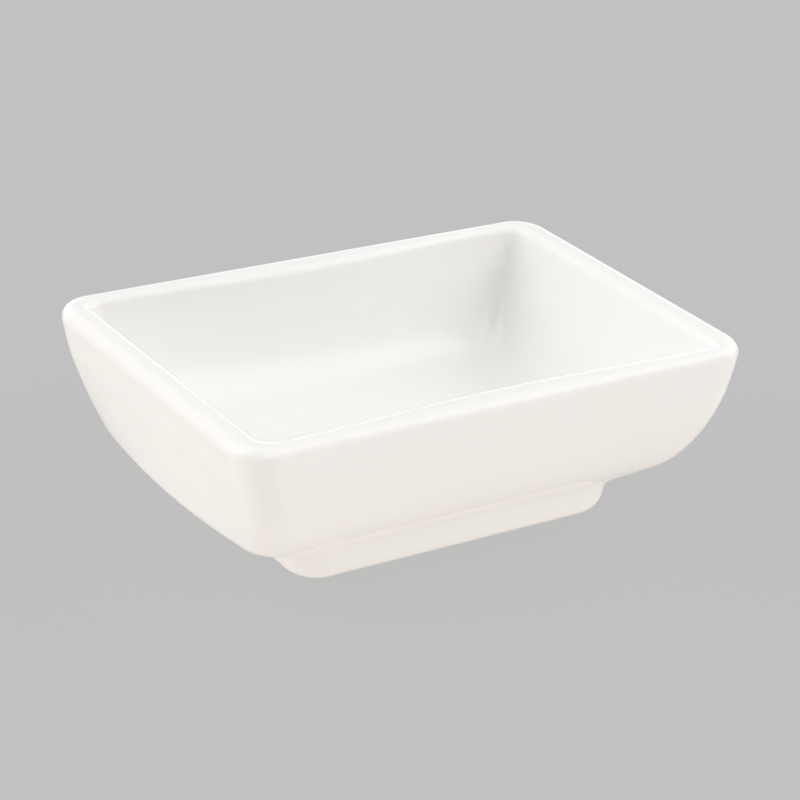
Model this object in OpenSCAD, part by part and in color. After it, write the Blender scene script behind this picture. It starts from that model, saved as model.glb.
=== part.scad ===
// Rectangular soy sauce dish, one glazed porcelain casting on a low rectangular foot.
// X runs along the dish, Y across it, Z up from the table. The origin is under its middle.

/* [Size] */
// Length over the rim
dish_l = 90; // [80:1:120]
// Width over the rim
dish_w = 60; // [54:1:84]
// Height of the rim above the table
dish_h = 30; // [27:1:40]

/* [Rim] */
// Width of the flat rim on the short sides
end_rim_w = 4.2; // [3.2:0.1:5]
// Width of the flat rim on the long sides, next to the corners
side_rim_w = 3.2; // [3:0.1:5]
// How much wider the rim is at the middle of a long side
rim_swell = 1.5; // [0:0.1:2.5]
// Rounding of the rim's outer edge
rim_outer_r = 1.7; // [1:0.1:2.2]
// Rounding of the rim's inner edge
rim_inner_r = 1.5; // [0.4:0.1:1.6]
// Corner radius of the rim, seen from above
rim_corner_r = 5.5; // [4:0.1:8]
// Corner radius of the mouth, seen from above
mouth_corner_r = 3; // [2:0.1:5]

/* [Outer walls] */
// Lean of the short walls from upright just below the rim, in degrees
end_top_lean = 14; // [10:0.5:14.5]
// How far below the rim the short walls begin to lean more
end_bend_drop = 7; // [5:0.5:9]
// Lean of the short walls from upright below that bend, in degrees
end_lean = 19.5; // [15:0.5:21]
// Slope of the short walls' underside, in degrees
end_under = 14.5; // [10:0.5:18]
// Radius where a short wall turns to its underside
end_turn_r = 4; // [1.4:0.2:5]
// How far the short walls bulge outward along the middle of that turn
end_bulge = 1.5; // [0:0.1:2]
// Lean of the long walls from upright just below the rim, in degrees
side_top_lean = 0; // [0:0.5:1.5]
// How far below the rim the long walls begin to lean more
side_bend_drop = 4; // [3:0.5:6]
// Lean of the long walls from upright below that bend, in degrees
side_lean = 2; // [2:0.5:7]
// Slope of the long walls' underside, in degrees
side_under = 44; // [40:1:50]
// Radius where a long wall turns to its underside
side_turn_r = 22; // [12:1:22]
// Radius of the bend below the rim in all four walls
bend_r = 30; // [10:1:40]
// Corner radius of the bowl where its walls turn under
belly_corner_r = 4.5; // [2:0.1:6]

/* [Basin] */
// Height of the basin's floor above the table
floor_z = 9.4; // [9:0.1:11]
// Lean of the basin's short walls, in degrees
basin_end_lean = 16; // [13:0.5:18]
// Lean of the basin's long walls, in degrees
basin_side_lean = 5; // [4:0.5:8]
// Radius between the floor and the short walls
basin_end_r = 9; // [6:0.5:12]
// Radius between the floor and the long walls
basin_side_r = 11; // [9:0.5:13]
// Corner radius of the floor, seen from above
basin_corner_r = 4; // [3:0.5:7]

/* [Foot] */
// Length of the foot
foot_l = 58; // [50:0.2:60]
// Width of the foot
foot_w = 41; // [36:0.2:42]
// Height of the foot where it meets the walls
foot_h = 6.4; // [5.5:0.1:6.8]
// How far the foot draws in from its base to its top
foot_taper = 0.3; // [0:0.1:2]
// Corner radius of the foot
foot_corner_r = 6; // [5:0.1:8]
// Rounding of the foot's lower edge
foot_edge_r = 4; // [1:0.1:4.2]
// Radius between the foot and the walls
foot_fillet_r = 2.2; // [0.3:0.1:2.4]
// Width of the unglazed rim that stands on the table
bearing_w = 2.6; // [2:0.1:4]
// Depth of the recess inside that rim
recess_depth = 4.4; // [2:0.1:5]
// Slope of the recess's walls from upright, in degrees
recess_lean = 25; // [5:1:35]
// Corner radius of the recess, seen from above
recess_corner_r = 3; // [1:0.1:5]
// Rounding of the recess's edges
recess_r = 0.6; // [0.3:0.1:0.9]

/* [Fineness] */
// Steps in each corner, seen from above
corner_steps = 7; // [4:1:8]
// Steps along each long side
side_steps = 12; // [6:2:14]
// Steps along each short side
end_steps = 8; // [4:2:10]
// Levels up the outer face
outer_steps = 26; // [16:1:28]
// Levels up the basin's walls
basin_steps = 14; // [10:1:16]

/* [Hidden] */
edge_steps = 6;
turn_steps = 12;
least_corner_r = 0.8;
// Share of an edge's rounding that it reaches down a wall, at most
edge_reach_share = 1.4;
// Height between the foot's rounded edge and the first level above it
foot_level_gap = 0.2;

recess_inset = foot_edge_r + bearing_w;
recess_draw = recess_depth * tan(recess_lean);
// Where the outer face and the basin's walls stop below the rim, clear of its rounded edges
rim_side_z = dish_h - edge_reach_share * rim_outer_r;
// Height at which the rim is widest
rim_z = dish_h - rim_outer_r;
mouth_side_z = dish_h - edge_reach_share * rim_inner_r;

// How far the rim's sharp outer corner lies past its rounded edge, for a wall that leans
function rim_reach(lean) = rim_outer_r * (1 / tan((90 - lean) / 2) - 1);

// Height at which a wall that leans from point bend_p down meets the underside that starts at half width x
function belly_z(bend_p, lean, under, x) =
    (foot_h + (bend_p[0] - bend_p[1] * tan(lean) - x) * tan(under)) / (1 - tan(lean) * tan(under));

// Named places in a section's list of corners
RECESS_TOP = 0;
RECESS_EDGE = 1;
FOOT_EDGE = 2;
JUNCTION = 3;
BELLY = 4;
BEND = 5;
RIM = 6;
MOUTH = 7;
FLOOR = 8;

// Corners of a section before rounding, each with its half width, height and rounding radius
function section_corners(
    half, foot_half, rim_w, top_lean, bend_drop, lean, under, turn_r, basin_lean, basin_r) =
    let (junction = foot_half - foot_taper,
         rim = half + rim_reach(top_lean),
         bend_p = [rim - bend_drop * tan(top_lean), dish_h - bend_drop],
         turn_z = belly_z(bend_p, lean, under, junction))
    [[foot_half - recess_inset - recess_draw, recess_depth, recess_r],
     [foot_half - recess_inset, 0, recess_r],
     [foot_half, 0, foot_edge_r],
     [junction, foot_h, foot_fillet_r],
     [bend_p[0] - (bend_p[1] - turn_z) * tan(lean), turn_z, turn_r],
     [bend_p[0], bend_p[1], bend_r],
     [rim, dish_h, rim_outer_r],
     [half - rim_w, dish_h, rim_inner_r],
     [half - rim_w - (dish_h - floor_z) * tan(basin_lean), floor_z, basin_r],
     [0, floor_z, 0]];

function unit(v) = v / norm(v);

function flat(p) = [p[0], p[1]];

// Points of the arc that rounds corner b between a and c, and overruns neither
function bend(a, b, c, r, steps) =
    let (u = unit(a - b), v = unit(c - b),
         half_angle = acos(u * v) / 2,
         reach = min(r / tan(half_angle), norm(a - b), norm(c - b)),
         centre = b + unit(u + v) * reach / cos(half_angle),
         from = b + u * reach - centre,
         to = b + v * reach - centre,
         sweep = 180 - 2 * half_angle)
    [for (i = [0:steps]) centre
        + (sin(sweep * (1 - i / steps)) * from + sin(sweep * i / steps) * to) / sin(sweep)];

function rounded(corners, k, steps) =
    bend(k == 0 ? [0, corners[0][1]] : flat(corners[k - 1]), flat(corners[k]), flat(corners[k + 1]),
         corners[k][2], steps);

// Half width of a wall at height z, found on its rounded corners
function half_width(corners, places, z) =
    lookup(z, [for (k = places) for (p = rounded(corners, k, turn_steps)) [p[1], p[0]]]);

// A ring of the skin: half length, half width, their heights, plan radius, how far the long
// sides swell inward and how far the short sides bulge outward.
// These are the rings round an edge, where plan_r gives the plan radius at a point of its section.
function edge_rings(ends, sides, k, plan_r, swell) =
    let (e = rounded(ends, k, edge_steps), s = rounded(sides, k, edge_steps))
    [for (i = [0:edge_steps]) [e[i][0], s[i][0], e[i][1], s[i][1], max(least_corner_r, plan_r(e[i])), swell, 0]];

function wall_ring(ends, sides, places, z, plan_r, swell, bulge) =
    [half_width(ends, places, z), half_width(sides, places, z), z, z, plan_r, swell, bulge];

// Share of the belly's form that the outer face has at height z: all where the short walls turn
// under, fading to none at the foot and at the rim
function belly_share(z, turn_z) =
    z <= foot_h || z >= rim_z ? 0
    : z < turn_z ? (1 - cos(180 * (z - foot_h) / (turn_z - foot_h))) / 2
    : (1 + cos(180 * (z - turn_z) / (rim_z - turn_z))) / 2;

// Plan radius of the outer face: the foot's, then the belly's, then the rim's
function outer_plan_r(z, turn_z) =
    let (start_r = z < turn_z ? foot_corner_r - foot_taper * min(1, z / foot_h) : rim_corner_r)
    start_r + (belly_corner_r - start_r) * belly_share(z, turn_z);

// Angle at which a ring's bulging short side runs into the corner's arc
function first_angle(ring) = atan(2 * ring[6] / (ring[1] - ring[4]));

// Points of a corner's arc, from the short side to the long side or back
function corner_points(ring, sx, sy, back) =
    [for (i = [0:corner_steps])
        let (a = 90 - (90 - first_angle(ring)) * (back ? i : corner_steps - i) / corner_steps) [
        sx * (ring[0] - ring[4] * (1 - cos(a))),
        sy * (ring[1] - ring[4] * (1 - sin(a))),
        ring[2] + (ring[3] - ring[2]) * pow(sin(a), 2)]];

function side_points(ring, sy) =
    [for (i = [1:side_steps - 1]) let (along = sy * (1 - 2 * i / side_steps)) [
        along * (ring[0] - ring[4]),
        sy * (ring[1] - ring[5] * (1 + cos(180 * along)) / 2),
        ring[3]]];

function end_points(ring, sx) =
    let (a = first_angle(ring), drawn_in = ring[4] * (1 - cos(a)))
    [for (i = [1:end_steps - 1]) let (across = -sx * (1 - 2 * i / end_steps)) [
        sx * (ring[0] + ring[6] - (ring[6] + drawn_in) * pow(across, 2)),
        across * (ring[1] - ring[4] * (1 - sin(a))),
        ring[2]]];

function ring_points(ring) = concat(
    corner_points(ring, 1, 1, false), side_points(ring, 1),
    corner_points(ring, -1, 1, true), end_points(ring, -1),
    corner_points(ring, -1, -1, false), side_points(ring, -1),
    corner_points(ring, 1, -1, true), end_points(ring, 1));

// Closed solid through a list of rings, from the recess under the foot to the basin's floor,
// with a fan of faces round the middle of each
module skin(rings) {
    loops = [for (ring = rings) ring_points(ring)];
    n = len(loops[0]);
    last = len(loops) - 1;
    middle = len(loops) * n;
    walls = [for (k = [0:last - 1], i = [0:n - 1]) let (j = (i + 1) % n, a = k * n, b = a + n)
        each [[a + i, b + i, b + j], [a + i, b + j, a + j]]];
    underside = [for (i = [0:n - 1]) [i, (i + 1) % n, middle]];
    basin_floor = [for (i = [0:n - 1]) [last * n + (i + 1) % n, last * n + i, middle + 1]];
    points = concat([for (loop = loops) each loop], [[0, 0, rings[0][2]], [0, 0, rings[last][2]]]);
    polyhedron(points, concat(walls, underside, basin_floor));
}

module dish() {
    ends = section_corners(
        dish_l / 2, foot_l / 2, end_rim_w, end_top_lean, end_bend_drop, end_lean, end_under, end_turn_r,
        basin_end_lean, basin_end_r);
    sides = section_corners(
        dish_w / 2, foot_w / 2, side_rim_w, side_top_lean, side_bend_drop, side_lean, side_under, side_turn_r,
        basin_side_lean, basin_side_r);
    outer = [FOOT_EDGE, JUNCTION, BELLY, BEND, RIM];
    basin = [FLOOR, MOUTH];
    turn_z = ends[BELLY][1];
    foot_side_z = rounded(ends, FOOT_EDGE, edge_steps)[edge_steps][1] + foot_level_gap;
    recess_plan_r = function (p) recess_corner_r;
    foot_plan_r = function (p) foot_corner_r - foot_l / 2 + p[0];
    rim_plan_r = function (p) outer_plan_r(p[1], turn_z) - (p[1] > rim_z ? dish_l / 2 - p[0] : 0);
    mouth_plan_r = function (p) mouth_corner_r;
    color("ivory") skin(concat(
        edge_rings(ends, sides, RECESS_TOP, recess_plan_r, 0),
        edge_rings(ends, sides, RECESS_EDGE, recess_plan_r, 0),
        edge_rings(ends, sides, FOOT_EDGE, foot_plan_r, 0),
        [for (i = [0:outer_steps])
            let (z = foot_side_z + (rim_side_z - foot_side_z) * pow(i / outer_steps, 1.5))
            wall_ring(ends, sides, outer, z, outer_plan_r(z, turn_z), 0, end_bulge * belly_share(z, turn_z))],
        edge_rings(ends, sides, RIM, rim_plan_r, 0),
        edge_rings(ends, sides, MOUTH, mouth_plan_r, rim_swell),
        [for (i = [0:basin_steps])
            let (depth_share = pow(1 - i / basin_steps, 2), z = floor_z + (mouth_side_z - floor_z) * depth_share)
            wall_ring(ends, sides, basin, z,
                basin_corner_r + (mouth_corner_r - basin_corner_r) * depth_share, rim_swell * depth_share, 0)]));
}

dish();
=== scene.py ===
"""A rectangular soy sauce dish in glazed white porcelain: its smooth shell, glaze, floor, lights and camera.

Lengths are written in millimetres and scaled to metres by MM. The frame is the CAD's: X along the dish,
Y across it, Z up from the table, with the origin under the dish's middle.
"""

import math

import bpy
import numpy as np
from mathutils import Matrix, Vector


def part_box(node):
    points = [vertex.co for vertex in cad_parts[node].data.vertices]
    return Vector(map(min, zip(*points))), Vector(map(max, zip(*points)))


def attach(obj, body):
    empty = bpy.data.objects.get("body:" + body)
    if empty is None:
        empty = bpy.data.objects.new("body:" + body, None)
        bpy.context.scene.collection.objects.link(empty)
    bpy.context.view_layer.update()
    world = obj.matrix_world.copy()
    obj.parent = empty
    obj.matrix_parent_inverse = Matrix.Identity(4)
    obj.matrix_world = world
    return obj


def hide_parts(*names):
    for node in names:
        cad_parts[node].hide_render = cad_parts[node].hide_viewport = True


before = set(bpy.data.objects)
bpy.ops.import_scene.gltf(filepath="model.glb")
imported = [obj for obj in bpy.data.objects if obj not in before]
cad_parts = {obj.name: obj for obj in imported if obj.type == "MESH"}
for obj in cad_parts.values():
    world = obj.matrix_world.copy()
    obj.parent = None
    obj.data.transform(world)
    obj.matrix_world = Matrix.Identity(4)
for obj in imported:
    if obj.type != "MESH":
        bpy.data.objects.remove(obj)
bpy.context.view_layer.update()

MM = 0.001
RAD = math.pi / 180

# Sizes of the dish. Its length, width and height come from the CAD solid. The others are the CAD's too, but for
# the foot's taper and fillet, which follow the photograph more closely here.
low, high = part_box("dish")
HALF_L = (high.x - low.x) / 2 / MM
HALF_W = (high.y - low.y) / 2 / MM
HEIGHT = (high.z - low.z) / MM

END_RIM_W = 4.2
SIDE_RIM_W = 3.2
RIM_SWELL = 1.5
RIM_OUTER_R = 1.7
RIM_INNER_R = 1.5
RIM_CORNER_R = 5.5
MOUTH_CORNER_R = 3.0

END_TOP_LEAN = 14.0
END_BEND_DROP = 7.0
END_LEAN = 19.5
END_UNDER = 14.5
END_TURN_R = 4.0
END_BULGE = 1.5
SIDE_TOP_LEAN = 0.0
SIDE_BEND_DROP = 4.0
SIDE_LEAN = 2.0
SIDE_UNDER = 44.0
SIDE_TURN_R = 22.0
BEND_R = 30.0
BELLY_CORNER_R = 4.5

FLOOR_Z = 9.4
BASIN_END_LEAN = 16.0
BASIN_SIDE_LEAN = 5.0
BASIN_END_R = 9.0
BASIN_SIDE_R = 11.0
BASIN_CORNER_R = 4.0

FOOT_HALF_L = 29.0
FOOT_HALF_W = 20.5
FOOT_H = 6.4
FOOT_TAPER = -0.4
FOOT_CORNER_R = 6.0
FOOT_EDGE_R = 4.0
FOOT_FILLET_R = 4.0
BEARING_W = 2.6
RECESS_DEPTH = 4.4
RECESS_LEAN = 25.0
RECESS_CORNER_R = 3.0
RECESS_R = 0.6

# Fineness of the shell, and how its rings are spaced
CORNER_STEPS = 14
LONG_STEPS = 64
SHORT_STEPS = 40
EDGE_STEPS = 14
OUTER_STEPS = 90
BASIN_STEPS = 60
FLOOR_STEPS = 14
TURN_STEPS = 60
EDGE_REACH_SHARE = 1.4
FOOT_LEVEL_GAP = 0.1
LEAST_CORNER_R = 0.8
MOST_CORNER_SHARE = 0.9
INNERMOST_SHARE = 0.04
OUTER_SPACING_POWER = 1.3
BASIN_SPACING_POWER = 2
BARE_FADE = 3

# Places in a section's list of corners
RECESS_TOP, RECESS_EDGE, FOOT_EDGE, JUNCTION, BELLY, BEND, RIM, MOUTH, FLOOR = range(9)


def unit(v):
    return v / np.linalg.norm(v)


def rim_reach(lean):
    """How far the rim's sharp outer corner lies past its rounded edge, for a wall that leans."""
    return RIM_OUTER_R * (1 / math.tan((90 - lean) / 2 * RAD) - 1)


def section_corners(half, foot_half, rim_w, top_lean, bend_drop, lean, under, turn_r, basin_lean, basin_r):
    """Corners of a section before rounding: half width, height and rounding radius."""
    inset = FOOT_EDGE_R + BEARING_W
    draw = RECESS_DEPTH * math.tan(RECESS_LEAN * RAD)
    junction = foot_half - FOOT_TAPER
    rim = half + rim_reach(top_lean)
    bend_x, bend_z = rim - bend_drop * math.tan(top_lean * RAD), HEIGHT - bend_drop
    slope, rise = math.tan(lean * RAD), math.tan(under * RAD)
    belly_z = (FOOT_H + (bend_x - bend_z * slope - junction) * rise) / (1 - slope * rise)
    return np.array([
        (foot_half - inset - draw, RECESS_DEPTH, RECESS_R),
        (foot_half - inset, 0, RECESS_R),
        (foot_half, 0, FOOT_EDGE_R),
        (junction, FOOT_H, FOOT_FILLET_R),
        (bend_x - (bend_z - belly_z) * slope, belly_z, turn_r),
        (bend_x, bend_z, BEND_R),
        (rim, HEIGHT, RIM_OUTER_R),
        (half - rim_w, HEIGHT, RIM_INNER_R),
        (half - rim_w - (HEIGHT - FLOOR_Z) * math.tan(basin_lean * RAD), FLOOR_Z, basin_r),
        (0, FLOOR_Z, 0),
    ])


def rounded(corners, k, steps):
    """Points of the arc that rounds corner k of a section."""
    b = corners[k][:2]
    before = np.array([0, corners[0][1]]) if k == 0 else corners[k - 1][:2]
    u, v = unit(before - b), unit(corners[k + 1][:2] - b)
    half_angle = math.acos(u @ v) / 2
    longest = min(np.linalg.norm(before - b), np.linalg.norm(corners[k + 1][:2] - b))
    reach = min(corners[k][2] / math.tan(half_angle), longest)
    centre = b + unit(u + v) * reach / math.cos(half_angle)
    start, end = b + u * reach - centre, b + v * reach - centre
    sweep = math.pi - 2 * half_angle
    t = np.linspace(0, 1, steps + 1)[:, None]
    return centre + (np.sin(sweep * (1 - t)) * start + np.sin(sweep * t) * end) / math.sin(sweep)


def half_width(corners, places, z):
    """Half width of a wall at height z, found on its rounded corners."""
    points = np.concatenate([rounded(corners, k, TURN_STEPS) for k in places])
    order = np.argsort(points[:, 1], kind="stable")
    return np.interp(z, points[order, 1], points[order, 0])


def ring_points(half_l, half_w, z_end, z_side, plan_r, swell=0, bulge=0):
    """Points of one ring of the shell, in millimetres: a rounded rectangle.

    Its long sides can swell inward, and its short sides can bulge outward.
    """
    plan_r = min(max(plan_r, LEAST_CORNER_R), MOST_CORNER_SHARE * half_w)
    first = math.atan(2 * bulge / (half_w - plan_r))
    angles = np.linspace(first, math.pi / 2, CORNER_STEPS + 1)
    long_share = np.linspace(1, -1, LONG_STEPS + 1)[1:-1]
    short_share = np.linspace(1, -1, SHORT_STEPS + 1)[1:-1]

    def corner(sx, sy, a):
        return np.stack([
            sx * (half_l - plan_r * (1 - np.cos(a))),
            sy * (half_w - plan_r * (1 - np.sin(a))),
            z_end + (z_side - z_end) * np.sin(a) ** 2,
        ], 1)

    def long_side(sy):
        along = sy * long_share
        across = sy * (half_w - swell * (1 + np.cos(math.pi * along)) / 2)
        return np.stack([along * (half_l - plan_r), across, np.full(len(along), z_side)], 1)

    def short_side(sx):
        along = half_l + bulge - (bulge + plan_r * (1 - math.cos(first))) * short_share ** 2
        across = -sx * short_share * (half_w - plan_r * (1 - math.sin(first)))
        return np.stack([sx * along, across, np.full(len(across), z_end)], 1)

    return np.concatenate([
        corner(1, 1, angles), long_side(1), corner(-1, 1, angles[::-1]), short_side(-1),
        corner(-1, -1, angles), long_side(-1), corner(1, -1, angles[::-1]), short_side(1),
    ])


def dish_rings():
    """Rings of the shell, from the recess under the foot to the basin's floor. Each has its bare share."""
    ends = section_corners(
        HALF_L, FOOT_HALF_L, END_RIM_W, END_TOP_LEAN, END_BEND_DROP, END_LEAN, END_UNDER, END_TURN_R,
        BASIN_END_LEAN, BASIN_END_R)
    sides = section_corners(
        HALF_W, FOOT_HALF_W, SIDE_RIM_W, SIDE_TOP_LEAN, SIDE_BEND_DROP, SIDE_LEAN, SIDE_UNDER, SIDE_TURN_R,
        BASIN_SIDE_LEAN, BASIN_SIDE_R)
    rings = []

    turn_z = ends[BELLY][1]
    rim_z = HEIGHT - RIM_OUTER_R

    def edge(k, plan_r, swell=0, bare=lambda share: 0):
        e, s = rounded(ends, k, EDGE_STEPS), rounded(sides, k, EDGE_STEPS)
        for i in range(EDGE_STEPS + 1):
            ring = ring_points(e[i, 0], s[i, 0], e[i, 1], s[i, 1], plan_r(*e[i]), swell)
            rings.append((ring, bare(i / EDGE_STEPS)))

    def belly_share(z):
        """Share of the belly's form at height z: all where the ends turn under, none at the foot and rim."""
        if z <= FOOT_H or z >= rim_z:
            return 0
        if z < turn_z:
            return (1 - math.cos(math.pi * (z - FOOT_H) / (turn_z - FOOT_H))) / 2
        return (1 + math.cos(math.pi * (z - turn_z) / (rim_z - turn_z))) / 2

    def outer_plan_r(z):
        start_r = FOOT_CORNER_R - FOOT_TAPER * min(1, z / FOOT_H) if z < turn_z else RIM_CORNER_R
        return start_r + (BELLY_CORNER_R - start_r) * belly_share(z)

    inner_top = rounded(ends, RECESS_TOP, EDGE_STEPS)[0, 0], rounded(sides, RECESS_TOP, EDGE_STEPS)[0, 0]
    for share in np.linspace(INNERMOST_SHARE, 1, FLOOR_STEPS, endpoint=False):
        half_l, half_w = inner_top[0] * share, inner_top[1] * share
        rings.append((ring_points(half_l, half_w, RECESS_DEPTH, RECESS_DEPTH, RECESS_CORNER_R * share), 0))
    edge(RECESS_TOP, lambda x, z: RECESS_CORNER_R)
    edge(RECESS_EDGE, lambda x, z: RECESS_CORNER_R, bare=lambda share: share)
    r_at_middle = FOOT_CORNER_R - FOOT_HALF_L
    edge(FOOT_EDGE, lambda x, z: r_at_middle + x, bare=lambda share: max(0, 1 - BARE_FADE * share))
    foot_side_z = rounded(ends, FOOT_EDGE, EDGE_STEPS)[-1, 1] + FOOT_LEVEL_GAP
    rim_side_z = HEIGHT - EDGE_REACH_SHARE * RIM_OUTER_R
    for share in np.linspace(0, 1, OUTER_STEPS + 1) ** OUTER_SPACING_POWER:
        z = foot_side_z + (rim_side_z - foot_side_z) * share
        places = (FOOT_EDGE, JUNCTION, BELLY, BEND, RIM)
        rings.append((ring_points(
            half_width(ends, places, z), half_width(sides, places, z), z, z, outer_plan_r(z),
            bulge=END_BULGE * belly_share(z)), 0))
    edge(RIM, lambda x, z: outer_plan_r(z) - (HALF_L - x if z > rim_z else 0))
    edge(MOUTH, lambda x, z: MOUTH_CORNER_R, RIM_SWELL)
    mouth_z = HEIGHT - EDGE_REACH_SHARE * RIM_INNER_R
    for share in np.linspace(1, 0, BASIN_STEPS + 1) ** BASIN_SPACING_POWER:
        z = FLOOR_Z + (mouth_z - FLOOR_Z) * share
        places = (FLOOR, MOUTH)
        rings.append((ring_points(
            half_width(ends, places, z), half_width(sides, places, z), z, z,
            BASIN_CORNER_R + (MOUTH_CORNER_R - BASIN_CORNER_R) * share, RIM_SWELL * share), 0))
    floor_l, floor_w = half_width(ends, (FLOOR,), FLOOR_Z), half_width(sides, (FLOOR,), FLOOR_Z)
    for share in np.linspace(1, INNERMOST_SHARE, FLOOR_STEPS)[1:]:
        half_l, half_w = floor_l * share, floor_w * share
        rings.append((ring_points(half_l, half_w, FLOOR_Z, FLOOR_Z, BASIN_CORNER_R * share), 0))
    return rings


def build_dish():
    """The porcelain shell as one closed smooth mesh. Its attribute "bare" marks the unglazed bearing rim."""
    rings = dish_rings()
    n, count = len(rings[0][0]), len(rings)
    points = np.concatenate([ring for ring, _ in rings]) * MM
    faces = [
        (k * n + i, k * n + (i + 1) % n, (k + 1) * n + (i + 1) % n, (k + 1) * n + i)
        for k in range(count - 1) for i in range(n)
    ]
    faces.append(tuple(range(n - 1, -1, -1)))
    faces.append(tuple(range((count - 1) * n, count * n)))
    mesh = bpy.data.meshes.new("dish_shell")
    mesh.from_pydata(points.tolist(), [], faces)
    mesh.shade_smooth()
    bare = mesh.attributes.new("bare", "FLOAT", "POINT")
    bare.data.foreach_set("value", np.repeat([share for _, share in rings], n).astype(np.float32))
    mesh.validate()
    mesh.update()
    piece = bpy.data.objects.new("dish_shell", mesh)
    bpy.context.scene.collection.objects.link(piece)
    return piece


class Nodes:
    """Short ways to add and join shader nodes."""

    def __init__(self, tree):
        self.tree = tree
        tree.nodes.clear()

    def add(self, kind, inputs=None, **settings):
        node = self.tree.nodes.new(kind)
        for name, value in settings.items():
            setattr(node, name, value)
        for name, value in (inputs or {}).items():
            if isinstance(value, bpy.types.NodeSocket):
                self.tree.links.new(value, node.inputs[name])
            else:
                node.inputs[name].default_value = value
        return node

    def larger(self, first, second):
        return self.add("ShaderNodeMath", {0: first, 1: second}, operation="MAXIMUM").outputs[0]

    def mixed(self, share, first, second):
        node = self.add("ShaderNodeMixShader", {"Fac": share})
        self.tree.links.new(first.outputs[0], node.inputs[1])
        self.tree.links.new(second.outputs[0], node.inputs[2])
        return node

    def ramp(self, factor, stops):
        stops = list(stops)
        node = self.add("ShaderNodeValToRGB", {"Fac": factor})
        elements = node.color_ramp.elements
        while len(elements) < len(stops):
            elements.new(0.5)
        for element, (position, colour) in zip(elements, stops):
            element.position = position
            element.color = (*colour, 1)
        return node


def new_material(name):
    material = bpy.data.materials.new(name)
    material.use_nodes = True
    return material, Nodes(material.node_tree)


# Colours of the dish, each as a darker and a lighter tone
GLAZE_TONES = (0.925, 0.915, 0.895), (0.935, 0.927, 0.91)
BISQUE_TONES = (0.70, 0.655, 0.585), (0.79, 0.75, 0.685)
NOISE_LOW, NOISE_HIGH = 0.3, 0.7
GLOSS_ROUGHNESS = 0.11, 0.17
BISQUE_ROUGHNESS = 0.72
BARE_EDGE = 0.46, 0.54
BARE_JITTER = 0.5


def porcelain():
    """Clear gloss glaze over warm white porcelain, bare and matt where the foot stands."""
    material, n = new_material("glazed_porcelain")
    place = n.add("ShaderNodeTexCoord").outputs["Object"]
    cloud = n.add("ShaderNodeTexNoise", {"Vector": place, "Scale": 28, "Detail": 3, "Roughness": 0.55})
    tone = n.ramp(cloud.outputs["Fac"], zip((NOISE_LOW, NOISE_HIGH), GLAZE_TONES))
    grain = n.add("ShaderNodeTexNoise", {"Vector": place, "Scale": 2600, "Detail": 4, "Roughness": 0.6})
    bisque = n.ramp(grain.outputs["Fac"], zip((NOISE_LOW, NOISE_HIGH), BISQUE_TONES))
    edge_noise = n.add("ShaderNodeTexNoise", {"Vector": place, "Scale": 320, "Detail": 3})
    bare = n.add("ShaderNodeAttribute", attribute_name="bare").outputs["Fac"]
    jitter = n.add("ShaderNodeMath", {0: edge_noise.outputs["Fac"], 1: BARE_JITTER, 2: -BARE_JITTER / 2},
                   operation="MULTIPLY_ADD")
    ragged = n.add("ShaderNodeMath", {0: bare, 1: jitter.outputs[0]}, operation="ADD")
    bare_mask = n.ramp(ragged.outputs[0], zip(BARE_EDGE, ((0, 0, 0), (1, 1, 1)))).outputs["Color"]
    colours = {"Factor": bare_mask, "A": tone.outputs["Color"], "B": bisque.outputs["Color"]}
    colour = n.add("ShaderNodeMix", colours, data_type="RGBA")
    haze = n.add("ShaderNodeTexNoise", {"Vector": place, "Scale": 90, "Detail": 4})
    gloss = n.add("ShaderNodeMapRange", {
        "Value": haze.outputs["Fac"], "From Min": NOISE_LOW, "From Max": NOISE_HIGH,
        "To Min": GLOSS_ROUGHNESS[0], "To Max": GLOSS_ROUGHNESS[1]})
    rough = n.add("ShaderNodeMix", {"Factor": bare_mask, "A": gloss.outputs["Result"], "B": BISQUE_ROUGHNESS})
    ripple = n.add("ShaderNodeTexNoise", {"Vector": place, "Scale": 130, "Detail": 2})
    peel = n.add("ShaderNodeTexNoise", {"Vector": place, "Scale": 900, "Detail": 2})
    wave_bump = n.add("ShaderNodeBump", {
        "Height": ripple.outputs["Fac"], "Strength": 0.06, "Distance": 0.8 * MM})
    bump = n.add("ShaderNodeBump", {
        "Height": peel.outputs["Fac"], "Strength": 0.05, "Distance": 0.2 * MM,
        "Normal": wave_bump.outputs["Normal"]})
    shader = n.add("ShaderNodeBsdfPrincipled", {
        "Base Color": colour.outputs["Result"], "Roughness": rough.outputs["Result"],
        "Normal": bump.outputs["Normal"], "IOR": 1.5, "Subsurface Weight": 0.12,
        "Subsurface Radius": (1.0, 0.8, 0.6), "Subsurface Scale": 1.2 * MM})
    n.add("ShaderNodeOutputMaterial", {"Surface": shader.outputs["BSDF"]})
    return material


dish = build_dish()
dish.data.materials.append(porcelain())
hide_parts("dish")
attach(dish, "root")


# Floor: a plain sweep, wide enough to fill every view. What the camera and the glaze's gloss see of it is the
# photograph's grey, with a faint shadow of the dish. To other rays it is warm white paper that glows, so that
# the dish is lit from below at the level of the boxes above.
FLOOR_SIZE = 8.0
BACKGROUND = (0.539, 0.539, 0.539)
GREY_PAPER = (0.49, 0.49, 0.49)
WHITE_PAPER = (0.94, 0.9, 0.86)
GLOW = (1.08, 1.01, 0.94)
GLOW_SHARE = 0.65
SHADOW_SHARE = 0.15


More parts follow.
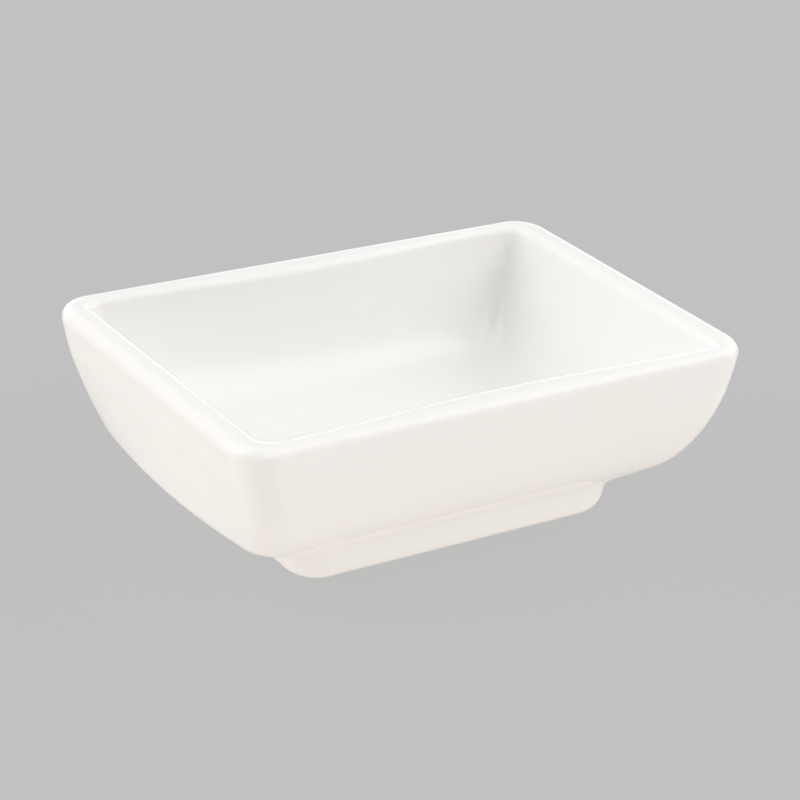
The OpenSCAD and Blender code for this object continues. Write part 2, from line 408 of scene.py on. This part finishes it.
def build_floor():
    half = FLOOR_SIZE / 2
    corners = [(-half, -half, 0), (half, -half, 0), (half, half, 0), (-half, half, 0)]
    mesh = bpy.data.meshes.new("floor")
    mesh.from_pydata(corners, [], [(0, 1, 2, 3)])
    floor = bpy.data.objects.new("floor", mesh)
    bpy.context.scene.collection.objects.link(floor)
    material, n = new_material("floor_paper")
    path = n.add("ShaderNodeLightPath").outputs
    seen = n.larger(n.larger(path["Is Camera Ray"], path["Is Glossy Ray"]), path["Is Transmission Ray"])
    paper = n.add("ShaderNodeBsdfDiffuse", {"Color": (*GREY_PAPER, 1)})
    even = n.add("ShaderNodeEmission", {"Color": (*BACKGROUND, 1)})
    backdrop = n.mixed(SHADOW_SHARE, even, paper)
    white = n.add("ShaderNodeBsdfDiffuse", {"Color": (*WHITE_PAPER, 1)})
    glow = n.add("ShaderNodeEmission", {"Color": (*GLOW, 1)})
    bounce = n.mixed(GLOW_SHARE, white, glow)
    n.add("ShaderNodeOutputMaterial", {"Surface": n.mixed(seen, bounce, backdrop).outputs[0]})
    mesh.materials.append(material)


build_floor()


# Light: a studio of wide soft boxes, drawn in the world. Each has a place on the sky in degrees, as its turn
# from X and its height, how far it spreads, and a strength. Together they light every side of the dish plainly.
# The narrow one gives the rim its bright line. The one from below lights the underside where no floor is.
# The camera sees the backdrop's grey instead of the boxes, and gloss sees that grey behind them.
SOFT_BOXES = (
    (30, 6, 30, 0.41),
    (90, 6, 30, 1.3),
    (150, 6, 30, 1.3),
    (180, 6, 30, 0.21),
    (18, 28, 34, 0.68),
    (90, 28, 34, 0.45),
    (126, 28, 34, 0.34),
    (162, 28, 34, 1.3),
    (198, 28, 34, 0.27),
    (270, 28, 34, 1.3),
    (306, 28, 34, 0.44),
    (342, 28, 34, 1.3),
    (0, 50, 36, 0.22),
    (154, 50, 36, 1.3),
    (308, 50, 36, 0.86),
    (135, 72, 36, 0.34),
    (315, 72, 36, 0.39),
    (0, 90, 34, 0.31),
    (53, 4, 16, 1.2),
    (0, -90, 90, 0.9),
)


def build_studio():
    world = bpy.data.worlds.new("studio")
    bpy.context.scene.world = world
    world.use_nodes = True
    n = Nodes(world.node_tree)
    outward = n.add("ShaderNodeTexCoord").outputs["Generated"]
    total = 0.0
    for turn, height, spread, strength in SOFT_BOXES:
        turn, height, rim = turn * RAD, height * RAD, math.cos(spread * RAD)
        middle = (math.cos(height) * math.cos(turn), math.cos(height) * math.sin(turn), math.sin(height))
        nearness = n.add("ShaderNodeVectorMath", {0: outward, 1: middle}, operation="DOT_PRODUCT")
        reach = {"Value": nearness.outputs["Value"], "From Min": rim, "From Max": 1.0, "To Max": strength}
        box = n.add("ShaderNodeMapRange", reach, interpolation_type="SMOOTHSTEP")
        total = n.add("ShaderNodeMath", {0: total, 1: box.outputs["Result"]}, operation="ADD").outputs[0]
    boxes = n.add("ShaderNodeBackground", {"Color": (1, 1, 1, 1), "Strength": total})
    path = n.add("ShaderNodeLightPath").outputs
    mirrored = n.larger(path["Is Glossy Ray"], path["Is Transmission Ray"])
    behind = n.add("ShaderNodeBackground", {"Color": (*BACKGROUND, 1), "Strength": mirrored})
    backdrop = n.add("ShaderNodeBackground", {"Color": (*BACKGROUND, 1), "Strength": 1.0})
    room = n.add("ShaderNodeAddShader")
    n.tree.links.new(boxes.outputs[0], room.inputs[0])
    n.tree.links.new(behind.outputs[0], room.inputs[1])
    both = n.mixed(path["Is Camera Ray"], room, backdrop)
    n.add("ShaderNodeOutputWorld", {"Surface": both.outputs[0]})


build_studio()


# Camera: the photograph's, fitted to the dish's outline. Its picture is 800 pixels square.
PICTURE = 800
FOCAL_PX = 2613.83
AZIMUTH = -34.951 * RAD
ELEVATION = 24.956 * RAD
ROLL = 4.337 * RAD
DISTANCE = 412.48 * MM
SHIFT_RIGHT = -0.449 * MM
SHIFT_UP = -15.285 * MM
SENSOR = 36.0
NEAREST, FARTHEST = 0.01, 50


def build_camera():
    cos_a, sin_a = math.cos(AZIMUTH), math.sin(AZIMUTH)
    cos_e, sin_e = math.cos(ELEVATION), math.sin(ELEVATION)
    right = Vector((cos_a, sin_a, 0))
    up = Vector((-sin_a * sin_e, cos_a * sin_e, cos_e))
    back = Vector((sin_a * cos_e, -cos_a * cos_e, sin_e))
    place = back * DISTANCE - right * SHIFT_RIGHT - up * SHIFT_UP
    turned_right = right * math.cos(ROLL) + up * math.sin(ROLL)
    turned_up = up * math.cos(ROLL) - right * math.sin(ROLL)
    data = bpy.data.cameras.new("photo_camera")
    data.sensor_width = SENSOR
    data.lens = FOCAL_PX / PICTURE * SENSOR
    data.clip_start, data.clip_end = NEAREST, FARTHEST
    camera = bpy.data.objects.new("photo_camera", data)
    camera.matrix_world = Matrix((
        (turned_right.x, turned_up.x, back.x, place.x),
        (turned_right.y, turned_up.y, back.y, place.y),
        (turned_right.z, turned_up.z, back.z, place.z),
        (0, 0, 0, 1),
    ))
    bpy.context.scene.collection.objects.link(camera)
    bpy.context.scene.camera = camera


build_camera()
bpy.context.scene.view_settings.view_transform = "Standard"

bpy.context.view_layer.update()
